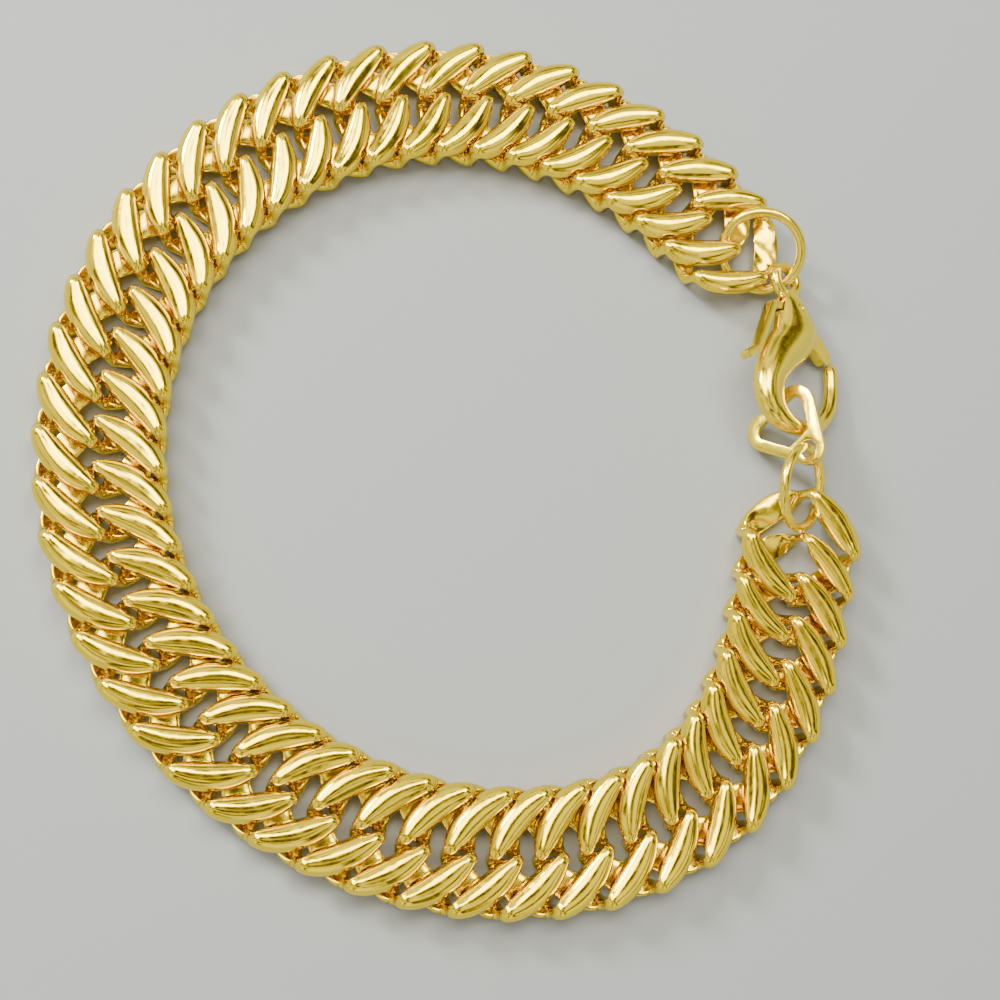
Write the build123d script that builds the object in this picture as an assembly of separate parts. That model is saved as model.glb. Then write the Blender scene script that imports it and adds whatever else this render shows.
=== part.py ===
from build123d import *
from math import cos, pi, radians, sin, sqrt
import os

# Double weave curb bracelet with a lobster clasp and an open heart tab, lying flat as one closed loop.
# Millimetres. +Z is up, +X is to the right and +Y is away from the viewer's near edge.

# Chain
LINK_COUNT = 46
LINK_LENGTH = 10.21  # outside the end wires, along the chain
LINK_WIDTH = 10.43  # outside the side wires, across the chain
BAR_WIDTH = 2.38  # the four slanting bars of a link at their middle, seen from above
BAR_THICKNESS = 1.14
BAR_FULLNESS = 0.77  # how soon a bar reaches its full width; small is soon
END_WIRE_HEIGHT = 0.80  # the same wire where it turns at the link's ends and sides
END_WIRE_THICKNESS = 0.73
CROSSING_GAP = 1.02  # clear height between a high bar and the low bar below it
END_PLAY = 1.41  # clear length between two end wires that nest in one eye of the chain
LINK_SQUARENESS = 0.10  # 0 is an ellipse in plan, 0.11 a rounded diamond
RISE_SOFTNESS = 0.15  # how gently a bar leaves the middle height; small is abrupt
TWIST_SOFTNESS = 1.5  # how gently the flat of the wire turns from inward to up or down
LINK_SIDES = 16  # facets round a link and round its wire
WIRE_SIDES = 6

# Jump rings
RING_RADIUS = 3.43  # centre of the wire
RING_WIRE = 0.84
CLASP_RING_FROM_EYE = (-2.32, 2.43, 0.48)  # from the clasp's eye to the ring's centre
CLASP_RING_SLOPE = 36.2  # degrees, rising to the right
CLASP_RING_BEARING = 54.7  # degrees, the direction in which it rises
TAB_RING_FROM_HOLE = (-0.51, -3.29, -0.52)  # from the heart's hole to the ring's centre
TAB_RING_SLOPE = 45.3
TAB_RING_BEARING = 165.3

# Open heart tab
HEART_WIDTH = 6.8
HEART_THICKNESS = 0.65
HEART_BAND = 1.0
LOBE_RADIUS = 1.75
LOBE_HEIGHT = 3.8  # lobe centres above the hole's centre
TIP_RADIUS = 1.4
TIP_HOLE_RADIUS = 0.72
WEB_HEIGHT = 1.25  # top of the solid tip above the hole's centre
HOLE_FROM_FOOT = (0.94, -2.01, 0.69)  # from the clasp's foot to the centre of the heart's hole
HEART_TURN = 39.7  # degrees, lobes swung to the left
HEART_SLOPE = 41.7  # degrees, the right side up
HEART_NOD = -2.6  # degrees, the lobes down

# Lobster clasp, in its own flat frame: x across, y from the hook up to the eye, the eye's centre at 0, 0
CLASP_LENGTH = 16.0
CLASP_WIDTH = 9.8
BELLY_WIDTH = 4.6
BELLY_THICKNESS = 2.9
EYE_RADIUS = 1.26  # centre of the eye's rounded rim
EYE_RIM = 0.96
CLASP_FOOT_AT = (25.22, 6.75, 3.45)  # on the clasp's long axis, beside the hook's bend, as it lies
CLASP_SWING = 0.8  # degrees, the eye swung to the right
CLASP_DIP = 6.2  # degrees, the eye lower than the hook
CLASP_ROLL = 26.0  # degrees about its long axis, the lever's side up

# Gate of the clasp: one flat piece, gate arm on the right and lever arm on the left of the pivot
GATE_THICKNESS = 0.95
GATE_WIDTH = 1.25
HUB_RADIUS = 0.98
LEVER_WIDTH = 0.65
NUB_RADIUS = 0.38
GATE_SLOT_CLEARANCE = 0.12
GATE_TIP_CLEARANCE = 0.12
GATE_TRAVEL = 22.0  # degrees, opens into the hook
PIN_RADIUS = 0.32
PIN_LENGTH = 2.2
PIN_BORE_CLEARANCE = 0.06
PIN_SEAT_CLEARANCE = 0.04

# The chain's middle line as it lies, from the heart's end round the wrist to the clasp's end.
# The loop between its ends widens or narrows to the links' own length, and its end follows the clasp's ring.
CHAIN_ROUTE = [
    (27.0, 1.3), (26.2, -1.5), (25.4, -5.5), (24.1, -11.3), (21.6, -17.8), (17.3, -23.3), (11.3, -26.9),
    (2.5, -28.6), (-8.3, -27.2), (-19.0, -22.0), (-27.3, -13.3), (-31.9, -2.3), (-32.1, 9.6), (-27.9, 20.8),
    (-19.7, 29.4), (-8.7, 34.2), (2.2, 34.2), (10.6, 31.1), (16.3, 27.1), (20.2, 23.5), (23.6, 20.2),
]
ROUTE_ANCHOR_X = 25.0
ROUTE_END_FROM_RING = (0.50, -2.48)  # from the clasp ring's centre to the last end wire

# Sections of the clasp's body and hook, from the eye round to the hook's tip.
# across and along are shares of the clasp's width and length, wide and thick are shares of the belly's.
# heading is the direction in which the section faces, in degrees from the clasp's x axis.
CLASP_SECTIONS = [
    {"across": 0.006, "along": -0.060, "heading": -90, "wide": 0.42, "thick": 0.29},
    {"across": 0.032, "along": -0.106, "heading": -90, "wide": 0.56, "thick": 0.60},
    {"across": 0.050, "along": -0.178, "heading": -90, "wide": 0.74, "thick": 0.84},
    {"across": 0.073, "along": -0.265, "heading": -90, "wide": 1.00, "thick": 1.00},
    {"across": -0.005, "along": -0.375, "heading": -108, "wide": 0.98, "thick": 1.00},
    {"across": -0.165, "along": -0.488, "heading": -106, "wide": 0.84, "thick": 0.93},
    {"across": -0.271, "along": -0.600, "heading": -92, "wide": 0.70, "thick": 0.84},
    {"across": -0.291, "along": -0.698, "heading": -73, "wide": 0.62, "thick": 0.76},
    {"across": -0.218, "along": -0.788, "heading": -48, "wide": 0.50, "thick": 0.67},
    {"across": -0.073, "along": -0.837, "heading": -20, "wide": 0.37, "thick": 0.57},
    {"across": 0.087, "along": -0.848, "heading": 0, "wide": 0.30, "thick": 0.50},
    {"across": 0.262, "along": -0.820, "heading": 26, "wide": 0.28, "thick": 0.47},
    {"across": 0.402, "along": -0.741, "heading": 54, "wide": 0.28, "thick": 0.46},
    {"across": 0.480, "along": -0.638, "heading": 76, "wide": 0.28, "thick": 0.45},
    {"across": 0.504, "along": -0.516, "heading": 90, "wide": 0.27, "thick": 0.43},
    {"across": 0.502, "along": -0.459, "heading": 92, "wide": 0.25, "thick": 0.40},
    {"across": 0.501, "along": -0.441, "heading": 92, "wide": 0.20, "thick": 0.32},
    {"across": 0.500, "along": -0.428, "heading": 92, "wide": 0.09, "thick": 0.15},
]

# The hook's last full section, which the gate closes against, and its bend.
HOOK_TIP = CLASP_SECTIONS[-3]
HOOK_BEND = CLASP_SECTIONS[10]

# Points of the gate piece, as shares of the clasp's width and length.
PIVOT = {"across": 0.048, "along": -0.175}
LEVER_BENDS = [
    {"across": -0.208, "along": -0.173},
    {"across": -0.426, "along": -0.459},
    {"across": -0.538, "along": -0.502},
]

LINK_PITCH = (LINK_LENGTH - 2 * END_WIRE_THICKNESS - END_PLAY) / 2
BAR_RISE = (BAR_THICKNESS + CROSSING_GAP) / 2
CHAIN_MID_HEIGHT = BAR_RISE + BAR_THICKNESS / 2
END_TO_CENTRE = (LINK_LENGTH - END_WIRE_THICKNESS) / 2
SIDE_TO_CENTRE = (LINK_WIDTH - END_WIRE_THICKNESS) / 2


def clasp_axis():
    """Direction of the clasp's long axis as it lies, from its foot to its eye."""
    level = cos(radians(CLASP_DIP))
    swing = radians(CLASP_SWING)
    return Vector(level * sin(swing), level * cos(swing), -sin(radians(CLASP_DIP)))


def clasp_eye():
    """Centre of the clasp's eye as it lies."""
    return Vector(*CLASP_FOOT_AT) + clasp_axis() * (-HOOK_BEND["along"] * CLASP_LENGTH)


def clasp_ring_centre():
    return clasp_eye() + Vector(*CLASP_RING_FROM_EYE)


def heart_hole():
    """Centre of the heart's hole as it lies."""
    return Vector(*CLASP_FOOT_AT) + Vector(*HOLE_FROM_FOOT)


def tab_ring_centre():
    return heart_hole() + Vector(*TAB_RING_FROM_HOLE)


def soft_step(value, softness):
    """Runs from -1 to 1 with the value, and leaves 0 more steeply than a straight line."""
    return value * sqrt((1 + softness**2) / (value**2 + softness**2))


def link_centre(angle):
    """Middle of the link's wire: two high bars and two low bars, at the middle height at both ends and sides."""
    x = END_TO_CENTRE * (cos(angle) + LINK_SQUARENESS * cos(3 * angle)) / (1 + LINK_SQUARENESS)
    y = SIDE_TO_CENTRE * (sin(angle) - LINK_SQUARENESS * sin(3 * angle)) / (1 + LINK_SQUARENESS)
    return Vector(x, y, -BAR_RISE * soft_step(sin(2 * angle), RISE_SOFTNESS))


def link_corners(angle):
    """Corners of the half round wire, its round side outward at the ends, up on high bars and down on low ones."""
    step = radians(2)
    along = (link_centre(angle + step) - link_centre(angle - step)).normalized()
    outward = Vector(along.Y, -along.X, 0).normalized()
    twist = -pi / 2 * soft_step(sin(2 * angle), TWIST_SOFTNESS)
    crown = outward * cos(twist) + Vector(0, 0, 1) * sin(twist)
    crown = (crown - along * crown.dot(along)).normalized()
    side = along.cross(crown)
    share = abs(sin(2 * angle)) ** BAR_FULLNESS
    width = END_WIRE_HEIGHT + (BAR_WIDTH - END_WIRE_HEIGHT) * share
    height = END_WIRE_THICKNESS + (BAR_THICKNESS - END_WIRE_THICKNESS) * share
    corners = []
    for index in range(WIRE_SIDES):
        swing = pi * index / (WIRE_SIDES - 1)
        across = side * (width / 2 * cos(swing))
        corners.append(link_centre(angle) + across + crown * (height * (sin(swing) - 0.5)))
    return corners


def make_link():
    """One link, a closed ring of flat facets round its wire."""
    rings = [link_corners(2 * pi * index / LINK_SIDES) for index in range(LINK_SIDES)]
    facets = []
    for index in range(LINK_SIDES):
        here, ahead = rings[index], rings[(index + 1) % LINK_SIDES]
        for corner in range(WIRE_SIDES):
            beside = (corner + 1) % WIRE_SIDES
            facets.append(Face(Wire.make_polygon([here[corner], here[beside], ahead[corner]])))
            facets.append(Face(Wire.make_polygon([here[beside], ahead[beside], ahead[corner]])))
    return Solid(Shell(facets))


def route_spline(widening):
    """The route with its inner points moved away from the clasp, or towards it, along x."""
    start = CHAIN_ROUTE[0]
    ring = clasp_ring_centre()
    end = (ring.X + ROUTE_END_FROM_RING[0], ring.Y + ROUTE_END_FROM_RING[1])
    stretch = (end[1] - start[1]) / (CHAIN_ROUTE[-1][1] - start[1])
    points = [start]
    for x, y in CHAIN_ROUTE[1:-1]:
        points.append((ROUTE_ANCHOR_X + (x - ROUTE_ANCHOR_X) * widening, start[1] + (y - start[1]) * stretch))
    return Spline([*points, end])


def fitted_route():
    """The route widened until its length holds every link at its pitch."""
    length = (LINK_COUNT - 1) * LINK_PITCH + 2 * END_TO_CENTRE
    low, high = 0.4, 2.5
    for _ in range(24):
        middle = (low + high) / 2
        if route_spline(middle).length < length:
            low = middle
        else:
            high = middle
    return route_spline((low + high) / 2)


def make_chain():
    """Every link, each threaded through the next two and turned along the route."""
    link = make_link()
    route = fitted_route()
    links = {}
    for index in range(LINK_COUNT):
        share = (END_TO_CENTRE + index * LINK_PITCH) / route.length
        centre = route.position_at(share)
        ahead = route.tangent_at(share)
        seat = Plane(origin=(centre.X, centre.Y, CHAIN_MID_HEIGHT), x_dir=(ahead.X, ahead.Y, 0), z_dir=(0, 0, 1))
        links[f"link_{index + 1:02d}"] = link.moved(seat.location)
    return links


def jump_ring(centre, slope, bearing):
    """Round wire ring whose plane rises by the slope in the direction of the bearing."""
    lean = sin(radians(slope))
    normal = (-lean * cos(radians(bearing)), -lean * sin(radians(bearing)), cos(radians(slope)))
    seat = Plane(origin=centre, z_dir=normal)
    return (seat.location * Torus(RING_RADIUS, RING_WIRE / 2)).solid()


def taper(start, start_radius, end, end_radius):
    """Flat shape round two circles and the two straight lines that touch them both."""
    rounds = Sketch() + Pos(*start) * Circle(start_radius) + Pos(*end) * Circle(end_radius)
    return make_hull(rounds.edges())


def heart_face():
    """Heart outline with a thin band, a solid tip and the tip's hole, all round the hole's centre."""
    reach = HEART_WIDTH / 2 - LOBE_RADIUS
    lobes = [(-reach, LOBE_HEIGHT), (reach, LOBE_HEIGHT)]
    outline = Sketch()
    for lobe in lobes:
        outline += taper(lobe, LOBE_RADIUS, (0, 0), TIP_RADIUS)
    corners = Sketch() + Circle(TIP_RADIUS - HEART_BAND)
    for lobe in lobes:
        corners += Pos(*lobe) * Circle(LOBE_RADIUS - HEART_BAND)
    window = make_hull(corners.edges())
    notch = LOBE_HEIGHT + sqrt(LOBE_RADIUS**2 - reach**2)
    window -= Pos(0, notch) * Circle(HEART_BAND)
    solid_tip = Rectangle(2 * HEART_WIDTH, 2 * HEART_WIDTH, align=(Align.CENTER, Align.MAX))
    window -= Pos(0, WEB_HEIGHT) * solid_tip
    return outline - window - Circle(TIP_HOLE_RADIUS)


def make_heart():
    """The tab, swung to the left about its hole and tipped with its right side up."""
    plate = extrude(heart_face(), HEART_THICKNESS / 2, both=True)
    placed = Pos(heart_hole()) * Rot(0, -HEART_SLOPE, 0) * Rot(HEART_NOD, 0, 0) * Rot(0, 0, HEART_TURN) * plate
    return placed.solid()


def clasp_plane():
    """Frame of the clasp as it lies, its y axis along it, rolled about its long axis."""
    up_axis = clasp_axis()
    face = Vector(sin(radians(CLASP_ROLL)), 0, cos(radians(CLASP_ROLL)))
    face = (face - up_axis * face.dot(up_axis)).normalized()
    return Plane(origin=clasp_eye(), x_dir=up_axis.cross(face), z_dir=face)


def clasp_point(shares):
    """A point of the clasp's flat frame from its shares of the width and length."""
    return (shares["across"] * CLASP_WIDTH, shares["along"] * CLASP_LENGTH)


def clasp_section(row):
    """Oval section across the clasp's spine."""
    heading = radians(row["heading"])
    x, y = clasp_point(row)
    plane = Plane(origin=(x, y, 0), x_dir=(-sin(heading), cos(heading), 0), z_dir=(cos(heading), sin(heading), 0))
    return plane * Ellipse(row["wide"] * BELLY_WIDTH / 2, row["thick"] * BELLY_THICKNESS / 2)


def pivot_to_hook_tip():
    """From the pivot to the middle of the hook's last full section."""
    pivot = clasp_point(PIVOT)
    tip = clasp_point(HOOK_TIP)
    return Vector(tip[0] - pivot[0], tip[1] - pivot[1])


def gate_reach():
    """From the pivot to the gate's far end, just short of the hook's tip."""
    return pivot_to_hook_tip().length - HOOK_TIP["wide"] * BELLY_WIDTH / 2 - GATE_TIP_CLEARANCE


def gate_outline(growth):
    """Hub, gate arm and bent lever arm, grown all round by a clearance."""
    pivot = clasp_point(PIVOT)
    arm = pivot_to_hook_tip().normalized() * (gate_reach() - GATE_WIDTH / 2)
    end = (pivot[0] + arm.X, pivot[1] + arm.Y)
    outline = taper(pivot, HUB_RADIUS + growth, end, GATE_WIDTH / 2 + growth)
    start, start_radius = pivot, LEVER_WIDTH / 2
    for index, row in enumerate(LEVER_BENDS):
        bend = clasp_point(row)
        bend_radius = NUB_RADIUS if index == len(LEVER_BENDS) - 1 else LEVER_WIDTH / 2
        outline += taper(start, start_radius + growth, bend, bend_radius + growth)
        start, start_radius = bend, bend_radius
    return outline


def turned_about_pivot(shape, degrees):
    """The shape turned in the clasp's plane about the gate's pivot."""
    x, y = clasp_point(PIVOT)
    return Pos(x, y) * Rot(0, 0, degrees) * Pos(-x, -y) * shape


def clasp_body():
    """Eye, body and hook as one casting, slotted for every position of the gate."""
    spine = loft([clasp_section(row) for row in CLASP_SECTIONS])
    body = spine + Torus(EYE_RADIUS, EYE_RIM / 2)
    slot = extrude(gate_outline(GATE_SLOT_CLEARANCE), GATE_THICKNESS / 2 + GATE_SLOT_CLEARANCE, both=True)
    slot &= Pos(*clasp_point(PIVOT)) * Cylinder(gate_reach(), BELLY_THICKNESS)
    for step in range(4):
        body -= turned_about_pivot(slot, -GATE_TRAVEL * step / 3)
    body -= Pos(*clasp_point(PIVOT)) * Cylinder(PIN_RADIUS + PIN_SEAT_CLEARANCE, BELLY_THICKNESS)
    return body


def clasp_gate():
    """The moving piece of the clasp, bored for its pin."""
    plate = extrude(gate_outline(0), GATE_THICKNESS / 2, both=True)
    return plate - Pos(*clasp_point(PIVOT)) * Cylinder(PIN_RADIUS + PIN_BORE_CLEARANCE, PIN_LENGTH)


def clasp_pin():
    """Plain pin that the gate turns on."""
    return Pos(*clasp_point(PIVOT)) * Cylinder(PIN_RADIUS, PIN_LENGTH)


def make_clasp():
    """The clasp's three pieces where it lies."""
    seat = clasp_plane().location
    pieces = {"clasp_body": clasp_body(), "clasp_gate": clasp_gate(), "clasp_pin": clasp_pin()}
    return {name: (seat * piece).solid() for name, piece in pieces.items()}


def make_bracelet():
    """All pieces by name, moved so that the box round them stands on the origin by the middle of its base."""
    pieces = make_chain()
    pieces["clasp_ring"] = jump_ring(clasp_ring_centre(), CLASP_RING_SLOPE, CLASP_RING_BEARING)
    pieces["tab_ring"] = jump_ring(tab_ring_centre(), TAB_RING_SLOPE, TAB_RING_BEARING)
    pieces["heart_tab"] = make_heart()
    pieces.update(make_clasp())
    box = Compound(children=[piece.moved(Location()) for piece in pieces.values()]).bounding_box()
    shift = Pos(-box.center().X, -box.center().Y, -box.min.Z)
    return {name: piece.moved(shift) for name, piece in pieces.items()}


os.makedirs("parts", exist_ok=True)
for name, piece in make_bracelet().items():
    export_step(piece, f"parts/{name}.step")
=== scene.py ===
from math import cos, pi, radians, sin, sqrt

import bmesh
import bpy
import numpy as np
from mathutils import Matrix, Vector


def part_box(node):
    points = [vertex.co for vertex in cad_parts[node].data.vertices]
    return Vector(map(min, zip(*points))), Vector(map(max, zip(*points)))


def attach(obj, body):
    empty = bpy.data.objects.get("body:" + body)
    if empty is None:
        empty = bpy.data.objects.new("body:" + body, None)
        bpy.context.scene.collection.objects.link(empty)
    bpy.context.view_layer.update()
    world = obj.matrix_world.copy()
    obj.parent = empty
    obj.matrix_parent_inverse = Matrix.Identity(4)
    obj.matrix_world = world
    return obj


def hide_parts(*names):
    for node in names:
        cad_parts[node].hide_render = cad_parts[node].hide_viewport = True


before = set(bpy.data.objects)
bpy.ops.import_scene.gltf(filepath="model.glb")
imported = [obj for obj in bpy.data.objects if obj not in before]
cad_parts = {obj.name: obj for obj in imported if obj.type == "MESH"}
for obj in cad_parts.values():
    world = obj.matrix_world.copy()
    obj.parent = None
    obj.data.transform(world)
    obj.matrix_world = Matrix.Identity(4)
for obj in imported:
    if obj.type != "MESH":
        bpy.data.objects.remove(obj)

# Double weave curb bracelet in polished gold plate. Metres, in the frame's own axes.
MM = 0.001
BODY = "bracelet"
UP = Vector((0, 0, 1))

LINKS = sorted(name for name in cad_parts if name.startswith("link_"))
RINGED_LINKS = [LINKS[1], LINKS[-1]]  # the two that lie nearest to a jump ring
RINGS = ["clasp_ring", "tab_ring"]

# The link's sizes, as in the frame
LINK_LENGTH = 10.21 * MM
LINK_WIDTH = 10.43 * MM
BAR_WIDTH = 2.38 * MM
BAR_THICKNESS = 1.14 * MM
END_WIRE_HEIGHT = 0.80 * MM
END_WIRE_THICKNESS = 0.73 * MM
CROSSING_GAP = 1.02 * MM
TWIST_SOFTNESS = 1.5
END_TO_CENTRE = (LINK_LENGTH - END_WIRE_THICKNESS) / 2
SIDE_TO_CENTRE = (LINK_WIDTH - END_WIRE_THICKNESS) / 2
BAR_RISE = (BAR_THICKNESS + CROSSING_GAP) / 2

# Smooth mesh of a link, its bars a little fuller and straighter than the frame's flat facets.
# squareness: 0 is an ellipse in plan, 0.11 a rounded diamond. rise: softness of the bars' rise.
# side and end: how soon a bar reaches its full width from the link's sides and ends; small is soon.
# inner: how far the flat inner side bulges, as a share of the wire's thickness.
# corner: below 1 the crown is fuller than a half circle.
# wire and length: the wire's size and the link's length, as shares of the frame's.
LINK_SHAPE = {
    "squareness": 0.11, "rise": 0.10, "side": 0.48, "end": 1.04,
    "inner": 0.16, "corner": 0.80, "wire": 1, "length": 1,
}
RINGED_SHAPE = {
    "squareness": 0.10, "rise": 0.15, "side": 0.77, "end": 0.77,
    "inner": 0.04, "corner": 0.95, "wire": 0.90, "length": 0.95,
}
LINK_STATIONS = 112
WIRE_POINTS = 18
HEADING_STEP = radians(0.5)  # round the link, to each side of a station, to find the wire's heading

# Solder seam on one low bar of each link
SEAM_AT = 0.25 * pi
SEAM_REACH = 0.035  # radians round the link
SEAM_SWELL = 0.07

# Jump rings
RING_STATIONS = 96
RING_POINTS = 20

# Reading the frame's nodes
POINT_DECIMALS = 8  # corners that agree to this many decimals of a metre are one point
HIGH_BARS_BEHIND = radians(45)  # turn from the line through a link's high bars to the chain's direction

# Heart and clasp: width of each one's softened edges
EDGES = {
    "heart_tab": 0.06 * MM,
    "clasp_body": 0.08 * MM,
    "clasp_gate": 0.10 * MM,
    "clasp_pin": 0.05 * MM,
}
EDGE_SEGMENTS = 3
EDGE_FROM = radians(35)  # flatter edges stay as they are
WELD_REACH = 0.002 * MM

# Gold plate. Noise scales are per metre.
CHAIN_GOLD = {
    "colour": (0.98, 0.69, 0.012), "pale": (1.00, 0.79, 0.035),
    "roughness": 0.11, "scratch_scale": 1200, "wave_depth": 0.10 * MM,
}
FINDING_GOLD = {
    "colour": (0.98, 0.72, 0.03), "pale": (1.00, 0.81, 0.06),
    "roughness": 0.14, "scratch_scale": 1500, "wave_depth": 0.03 * MM,
}
CLOUD_SCALE = 420
CLOUD_DETAIL = 5
SMEAR_SCALE = 1500
SMEAR_DETAIL = 4
SMEAR_RANGE = (0.35, 0.75)  # of the noise, from glossiest to dullest
SMEAR_ROUGHNESS = 0.10  # added where it is dullest
HAIRLINE_STRETCH = 9  # times finer across the scratches than along them
HAIRLINE_TURN = (0.3, 0.2, 0.9)
HAIRLINE_DETAIL = 3
HAIRLINE_STRENGTH = 0.10
HAIRLINE_DEPTH = 0.02 * MM
WAVE_SCALE = 420
WAVE_DETAIL = 2
WAVE_STRENGTH = 0.6

# Surroundings that the metal reflects: patches from dark and warm to bright
PATCH_SCALE = 2.6
PATCH_DETAIL = 2
PATCH_DISTORTION = 0.5
PATCH_TONES = [
    (0.42, (0.04, 0.03, 0.015, 1)),
    (0.47, (0.22, 0.17, 0.09, 1)),
    (0.51, (0.80, 0.75, 0.58, 1)),
    (0.60, (1.00, 0.97, 0.82, 1)),
]
PATCHES_START = (0.20, 0.40)  # the patches fade in over these sines of the angle above the horizon
HORIZON_TONE = (0.62, 0.61, 0.56, 1)
WORLD_STRENGTH = 1.45

# Square lights, aimed at the view's centre: place, size, power in watts and colour
LIGHTS = {
    "ceiling": ((-0.20, 0.17, 0.48), 0.32, 3.0, (1.0, 0.94, 0.72)),
    "window": ((-0.30, 0.24, 0.22), 0.10, 3.0, (1.0, 0.98, 0.92)),
    "panel": ((0.09, 0.20, 0.44), 0.20, 1.6, (1.0, 0.94, 0.74)),
}

FLOOR_SIZE = 3.0
FLOOR_COLOUR = (0.30, 0.325, 0.37, 1)
FLOOR_ROUGHNESS = 0.75

# Camera, at the photograph's angle over the bracelet
VIEW_CENTRE = Vector((3.32, -3.06, 1.55)) * MM
CAMERA_SIDE = Vector((-20.8, -21.7, 120.8))  # direction from the view's centre, of any length
CAMERA_DISTANCE = 124.5 * MM
LENS = 54.0
SENSOR = 36.0
CLIP_START = 0.01

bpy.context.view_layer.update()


def soft_step(value, softness):
    """Runs from -1 to 1 with the value, and leaves 0 more steeply than a straight line."""
    return value * sqrt((1 + softness**2) / (value**2 + softness**2))


def turns(count):
    """Evenly spaced angles round a full turn."""
    return [2 * pi * index / count for index in range(count)]


def link_centre(angle, shape):
    """Middle of the link's wire at an angle round the link."""
    squareness = shape["squareness"]
    x = END_TO_CENTRE * (cos(angle) + squareness * cos(3 * angle)) / (1 + squareness)
    y = SIDE_TO_CENTRE * (sin(angle) - squareness * sin(3 * angle)) / (1 + squareness)
    return Vector((shape["length"] * x, y, -BAR_RISE * soft_step(sin(2 * angle), shape["rise"])))


def seam_swell(angle):
    """The wire is a little thicker in a narrow band at its solder seam."""
    distance = abs(angle - SEAM_AT) / SEAM_REACH
    return 1 + SEAM_SWELL * max(0, 1 - distance**2)


def link_ring(angle, shape):
    """Points round the half round wire: a full crown and a slightly bulged inner side."""
    before, after = (link_centre(angle + step, shape) for step in (-HEADING_STEP, HEADING_STEP))
    along = (after - before).normalized()
    outward = Vector((along.y, -along.x, 0)).normalized()
    twist = -pi / 2 * soft_step(sin(2 * angle), TWIST_SOFTNESS)
    crown = outward * cos(twist) + UP * sin(twist)
    crown = (crown - along * crown.dot(along)).normalized()
    side = along.cross(crown)
    fullness = shape["side"] + (shape["end"] - shape["side"]) * cos(angle) ** 2
    share = abs(sin(2 * angle)) ** fullness
    swell = seam_swell(angle) * shape["wire"]
    width = (END_WIRE_HEIGHT + (BAR_WIDTH - END_WIRE_HEIGHT) * share) * swell
    height = (END_WIRE_THICKNESS + (BAR_THICKNESS - END_WIRE_THICKNESS) * share) * swell
    centre = link_centre(angle, shape)
    points = []
    for turn in turns(WIRE_POINTS):
        reach = sin(turn)
        if reach >= 0:
            lift = height * (reach ** shape["corner"] - 0.5)
        else:
            lift = height * (shape["inner"] * reach - 0.5)
        points.append(centre + side * (width / 2 * cos(turn)) + crown * lift)
    return points


def round_ring(angle, radius, wire):
    """Points round the wire of a jump ring that lies flat, at an angle round the ring."""
    out = Vector((cos(angle), sin(angle), 0))
    return [
        out * (radius + wire * cos(turn)) + UP * (wire * sin(turn))
        for turn in turns(RING_POINTS)
    ]


def closed_tube(name, rings):
    """Smooth mesh through rings of points, closed from the last ring to the first."""
    around = len(rings[0])
    points = [point for ring in rings for point in ring]
    faces = []
    for row in range(len(rings)):
        ahead = (row + 1) % len(rings)
        for column in range(around):
            beside = (column + 1) % around
            faces.append((
                row * around + column, row * around + beside,
                ahead * around + beside, ahead * around + column,
            ))
    mesh = bpy.data.meshes.new(name)
    mesh.from_pydata(points, [], faces)
    shell = bmesh.new()
    shell.from_mesh(mesh)
    bmesh.ops.recalc_face_normals(shell, faces=shell.faces)
    shell.to_mesh(mesh)
    shell.free()
    mesh.polygons.foreach_set("use_smooth", [True] * len(mesh.polygons))
    return mesh


def own_points(node):
    """The node's different corner points, in the frame's axes."""
    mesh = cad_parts[node].data
    flat = np.empty(3 * len(mesh.vertices))
    mesh.vertices.foreach_get("co", flat)
    world = np.array(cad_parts[node].matrix_world)
    points = flat.reshape(-1, 3) @ world[:3, :3].T + world[:3, 3]
    return np.unique(np.round(points, POINT_DECIMALS), axis=0)


def box_middle(node):
    """Middle of the box round the node."""
    low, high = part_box(node)
    return (Vector(low) + Vector(high)) / 2


def link_seat(node):
    """Where the frame's link lies: its middle, with x along the chain.

    Weighting its points by their height shows the line from one high bar to the other.
    """
    middle = box_middle(node)
    spread = own_points(node) - np.array(middle)
    plan = spread[:, :2]
    _, vectors = np.linalg.eigh(plan.T @ (plan * spread[:, 2:]))
    high_to_high = Vector((*vectors[:, 1], 0))
    along = Matrix.Rotation(HIGH_BARS_BEHIND, 3, "Z") @ high_to_high
    across = UP.cross(along)
    turn = Matrix((along, across, UP)).transposed().to_4x4()
    return Matrix.Translation(middle) @ turn


def ring_seat(node):
    """Where the frame's ring lies: its middle, with z along its axle."""
    middle = box_middle(node)
    spread = own_points(node) - np.array(middle)
    _, vectors = np.linalg.eigh(spread.T @ spread)
    axle = Vector(vectors[:, 0]).normalized()
    return Matrix.Translation(middle) @ axle.to_track_quat("Z", "Y").to_matrix().to_4x4()


def ring_sizes(node):
    """Radius to the wire's middle and the wire's radius, measured on the frame's ring."""
    spread = own_points(node) - np.array(box_middle(node))
    distance = np.linalg.norm(spread, axis=1)
    outer, inner = distance.max(), distance.min()
    return (outer + inner) / 2, (outer - inner) / 2


def show(name, data):
    """A new object in the scene."""
    made = bpy.data.objects.new(name, data)
    bpy.context.scene.collection.objects.link(made)
    return made


def piece(name, mesh, seat, material, node):
    """A smooth piece in place of a node of the frame."""
    made = show(name, mesh)
    made.matrix_world = seat
    if not mesh.materials:
        mesh.materials.append(material)
    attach(made, BODY)
    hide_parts(node)


def noise(tree, vector, scale, detail):
    """Noise texture over a vector output."""
    texture = tree.nodes.new("ShaderNodeTexNoise")
    texture.inputs["Scale"].default_value = scale
    texture.inputs["Detail"].default_value = detail
    tree.links.new(vector, texture.inputs["Vector"])
    return texture


def bump(tree, texture, strength, depth):
    """Relief that follows a texture."""
    relief = tree.nodes.new("ShaderNodeBump")
    relief.inputs["Strength"].default_value = strength
    relief.inputs["Distance"].default_value = depth
    tree.links.new(texture.outputs["Fac"], relief.inputs["Height"])
    return relief


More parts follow.
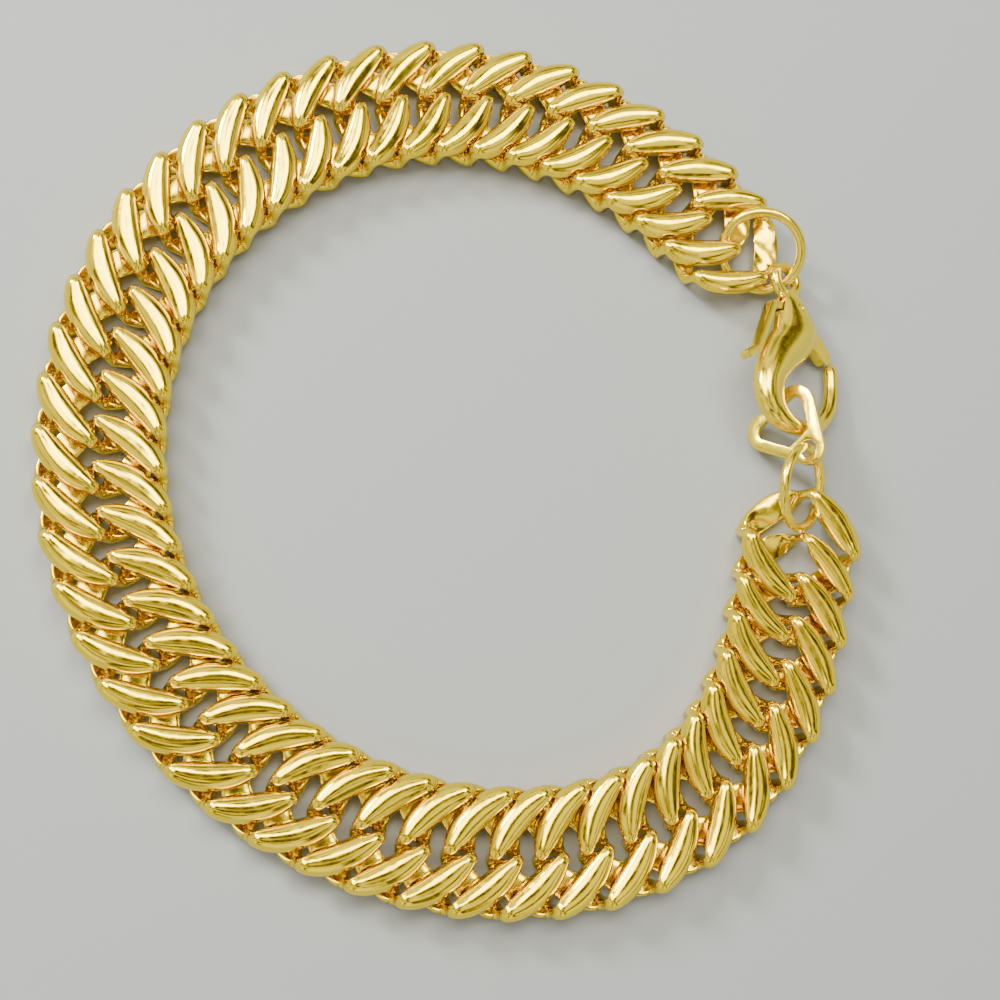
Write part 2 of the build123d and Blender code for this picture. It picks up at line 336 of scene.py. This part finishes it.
def colour_mix(tree, factor):
    """Mix from colour A to colour B by a factor output."""
    mix = tree.nodes.new("ShaderNodeMix")
    mix.data_type = "RGBA"
    tree.links.new(factor, mix.inputs["Factor"])
    return mix


def gold(name, colour, pale, roughness, scratch_scale, wave_depth):
    """Polished gold plate: clouding of colour and gloss, hairline scratches and soft casting waves."""
    material = bpy.data.materials.new(name)
    material.use_nodes = True
    tree = material.node_tree
    nodes, links = tree.nodes, tree.links
    shader = nodes["Principled BSDF"]
    shader.inputs["Metallic"].default_value = 1.0
    place = nodes.new("ShaderNodeTexCoord").outputs["Object"]

    clouds = noise(tree, place, CLOUD_SCALE, CLOUD_DETAIL)
    tint = colour_mix(tree, clouds.outputs["Fac"])
    tint.inputs["A"].default_value = (*colour, 1)
    tint.inputs["B"].default_value = (*pale, 1)
    links.new(tint.outputs["Result"], shader.inputs["Base Color"])

    smears = noise(tree, place, SMEAR_SCALE, SMEAR_DETAIL)
    gloss = nodes.new("ShaderNodeMapRange")
    gloss.inputs["From Min"].default_value = SMEAR_RANGE[0]
    gloss.inputs["From Max"].default_value = SMEAR_RANGE[1]
    gloss.inputs["To Min"].default_value = roughness
    gloss.inputs["To Max"].default_value = roughness + SMEAR_ROUGHNESS
    links.new(smears.outputs["Fac"], gloss.inputs["Value"])
    links.new(gloss.outputs["Result"], shader.inputs["Roughness"])

    stretch = nodes.new("ShaderNodeMapping")
    across_scale = scratch_scale * HAIRLINE_STRETCH
    stretch.inputs["Scale"].default_value = (scratch_scale, across_scale, across_scale)
    stretch.inputs["Rotation"].default_value = HAIRLINE_TURN
    links.new(place, stretch.inputs["Vector"])
    hairlines = noise(tree, stretch.outputs["Vector"], 1, HAIRLINE_DETAIL)
    waves = noise(tree, place, WAVE_SCALE, WAVE_DETAIL)
    fine = bump(tree, hairlines, HAIRLINE_STRENGTH, HAIRLINE_DEPTH)
    broad = bump(tree, waves, WAVE_STRENGTH, wave_depth)
    links.new(fine.outputs["Normal"], broad.inputs["Normal"])
    links.new(broad.outputs["Normal"], shader.inputs["Normal"])
    return material


def make_links(material):
    """Every link of the chain: one shared smooth mesh, and a slimmer one for RINGED_LINKS."""
    full = closed_tube("curb_link", [link_ring(angle, LINK_SHAPE) for angle in turns(LINK_STATIONS)])
    slim = closed_tube("ringed_link", [link_ring(angle, RINGED_SHAPE) for angle in turns(LINK_STATIONS)])
    for node in LINKS:
        mesh = slim if node in RINGED_LINKS else full
        piece(f"smooth_{node}", mesh, link_seat(node), material, node)


def make_rings(material):
    """The two jump rings as smooth round wire."""
    for node in RINGS:
        radius, wire = ring_sizes(node)
        rings = [round_ring(angle, radius, wire) for angle in turns(RING_STATIONS)]
        mesh = closed_tube(f"wire_{node}", rings)
        piece(f"smooth_{node}", mesh, ring_seat(node), material, node)


def finish_cad(node, material, edge):
    """Carried over node: welded, its edges softened, and the material put on."""
    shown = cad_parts[node]
    shown.data.materials.clear()
    shown.data.materials.append(material)
    shown.data.polygons.foreach_set("use_smooth", [True] * len(shown.data.polygons))
    weld = shown.modifiers.new("weld", "WELD")
    weld.merge_threshold = WELD_REACH
    bevel = shown.modifiers.new("edges", "BEVEL")
    bevel.width = edge
    bevel.segments = EDGE_SEGMENTS
    bevel.limit_method = "ANGLE"
    bevel.angle_limit = EDGE_FROM
    bevel.harden_normals = True


def make_floor():
    """Plain pale floor."""
    mesh = bpy.data.meshes.new("floor")
    half = FLOOR_SIZE / 2
    corners = [(-half, -half, 0), (half, -half, 0), (half, half, 0), (-half, half, 0)]
    mesh.from_pydata(corners, [], [(0, 1, 2, 3)])
    floor = show("floor", mesh)
    material = bpy.data.materials.new("floor")
    material.use_nodes = True
    shader = material.node_tree.nodes["Principled BSDF"]
    shader.inputs["Base Color"].default_value = FLOOR_COLOUR
    shader.inputs["Roughness"].default_value = FLOOR_ROUGHNESS
    mesh.materials.append(material)


def make_world():
    """Plain near the horizon, and above it bright with darker, warmer patches, which the metal shows."""
    world = bpy.data.worlds.new("studio")
    bpy.context.scene.world = world
    world.use_nodes = True
    tree = world.node_tree
    nodes, links = tree.nodes, tree.links
    place = nodes.new("ShaderNodeTexCoord").outputs["Generated"]

    patches = noise(tree, place, PATCH_SCALE, PATCH_DETAIL)
    patches.inputs["Distortion"].default_value = PATCH_DISTORTION
    tones = nodes.new("ShaderNodeValToRGB")
    ramp = tones.color_ramp
    ramp.elements[0].position, ramp.elements[0].color = PATCH_TONES[0]
    ramp.elements[1].position, ramp.elements[1].color = PATCH_TONES[-1]
    for position, colour in PATCH_TONES[1:-1]:
        ramp.elements.new(position).color = colour
    links.new(patches.outputs["Fac"], tones.inputs["Fac"])

    split = nodes.new("ShaderNodeSeparateXYZ")
    links.new(place, split.inputs["Vector"])
    rise = nodes.new("ShaderNodeMapRange")
    rise.inputs["From Min"].default_value = PATCHES_START[0]
    rise.inputs["From Max"].default_value = PATCHES_START[1]
    links.new(split.outputs["Z"], rise.inputs["Value"])
    blend = colour_mix(tree, rise.outputs["Result"])
    blend.inputs["A"].default_value = HORIZON_TONE
    links.new(tones.outputs["Color"], blend.inputs["B"])

    background = nodes["Background"]
    links.new(blend.outputs["Result"], background.inputs["Color"])
    background.inputs["Strength"].default_value = WORLD_STRENGTH


def make_lights():
    """The soft lights of LIGHTS."""
    for name, (place, size, power, colour) in LIGHTS.items():
        lamp = bpy.data.lights.new(name, "AREA")
        lamp.shape = "SQUARE"
        lamp.size = size
        lamp.energy = power
        lamp.color = colour
        made = show(name, lamp)
        made.location = place
        made.rotation_euler = (Vector(place) - VIEW_CENTRE).to_track_quat("Z", "Y").to_euler()


def make_camera():
    """Above the bracelet and a little nearer to its lower left, with the photograph's lens."""
    back = CAMERA_SIDE.normalized()
    right = Vector((0, 1, 0)).cross(back).normalized()
    up = back.cross(right)
    lens = bpy.data.cameras.new("camera")
    lens.lens = LENS
    lens.sensor_width = SENSOR
    lens.clip_start = CLIP_START
    camera = show("camera", lens)
    turn = Matrix((right, up, back)).transposed().to_4x4()
    camera.matrix_world = Matrix.Translation(VIEW_CENTRE + back * CAMERA_DISTANCE) @ turn
    bpy.context.scene.camera = camera


chain_gold = gold("chain_gold", **CHAIN_GOLD)
finding_gold = gold("finding_gold", **FINDING_GOLD)

make_links(chain_gold)
make_rings(finding_gold)
for node, edge in EDGES.items():
    finish_cad(node, finding_gold, edge)
make_floor()
make_world()
make_lights()
make_camera()
